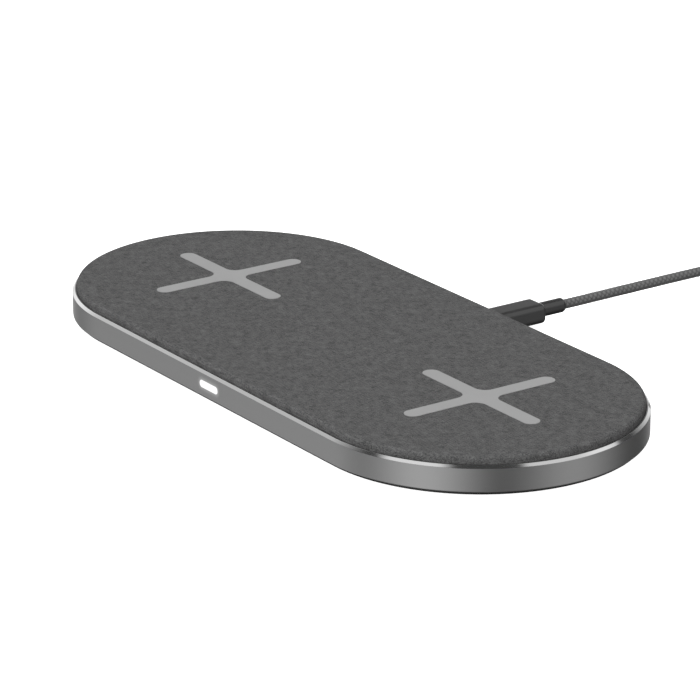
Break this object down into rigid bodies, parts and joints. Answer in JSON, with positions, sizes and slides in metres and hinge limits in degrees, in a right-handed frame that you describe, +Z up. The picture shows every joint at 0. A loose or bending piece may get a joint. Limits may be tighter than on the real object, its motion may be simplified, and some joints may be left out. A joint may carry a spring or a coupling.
{
  "type": "wireless charging pad",
  "caption": "Low stadium-shaped charging pad for two phones side by side: metal frame, fabric top with a cross over each coil, status light, and a plug-in braided USB lead.",
  "frame": {"origin": "middle of the pad's outline, on the surface that its anti-slip ring stands on", "axes": "+X along the pad's length, +Y towards the side that holds the socket, +Z up through the fabric top"},
  "size_m": [0.234, 0.2488, 0.0122],
  "materials": {
    "frame_metal": "satin, with a polished chamfer",
    "base_plastic": "fine texture",
    "foot_rubber": "matt silicone",
    "plate_plastic": "moulded",
    "cover_fabric": "fine woven melange",
    "mark_rubber": "smooth printed silicone",
    "coil_copper": "enamelled wire",
    "ferrite": "sintered, matt",
    "carrier_plastic": "moulded",
    "bead_epoxy": "dipped bead",
    "board": "solder resist",
    "chip_epoxy": "moulded epoxy",
    "capacitor_ceramic": "matt",
    "thin_steel": "tinned",
    "screw_steel": "zinc plated",
    "led_body": "moulded",
    "light_pipe": "lit from behind",
    "tongue_plastic": "moulded",
    "plug_steel": "nickel plated",
    "plug_plastic": "satin moulded",
    "relief_rubber": "soft moulded",
    "lead_braid": "woven braid",
    "tie_fabric": "woven strap",
    "white_plastic": "moulded",
    "contact_metal": "gold plated"
  },
  "bodies": {
    "pad": {"frame_ring": "frame_metal", "base_plate": "base_plastic", "foot_ring": "foot_rubber", "top_plate": "plate_plastic", "fabric_cover": "cover_fabric", "charge_mark_left": "mark_rubber", "charge_mark_right": "mark_rubber", "coil_left": "coil_copper", "coil_right": "coil_copper", "ferrite_left": "ferrite", "ferrite_right": "ferrite", "coil_carrier_left": "carrier_plastic", "coil_carrier_right": "carrier_plastic", "thermistor_left": "bead_epoxy", "thermistor_right": "bead_epoxy", "coil_leads_left": "coil_copper", "coil_leads_right": "coil_copper", "main_board": "board", "controller_chips": "chip_epoxy", "power_inductors": "ferrite", "resonance_capacitors": "capacitor_ceramic", "shield_can": "thin_steel", "status_led": "led_body", "light_pipe": "light_pipe", "socket_shell": "thin_steel", "socket_tongue": "tongue_plastic", "board_screws": "screw_steel", "base_screws": "screw_steel"},
    "cable": {"plug_shell": "plug_steel", "plug_insulator": "tongue_plastic", "plug_housing": "plug_plastic", "plug_strain_relief": "relief_rubber", "cable_lead": "lead_braid", "cable_coil": "lead_braid", "cable_tie": "tie_fabric", "cable_tail": "lead_braid", "supply_strain_relief": "relief_rubber", "supply_housing": "plug_plastic", "supply_shell": "plug_steel", "supply_tongue": "white_plastic", "supply_contacts": "contact_metal"}
  },
  "joints": [
    {"name": "plug_slide", "type": "slide", "parent": "pad", "child": "cable", "axis": [0, 1, 0], "range_m": [0, 0.012]}
  ]
}
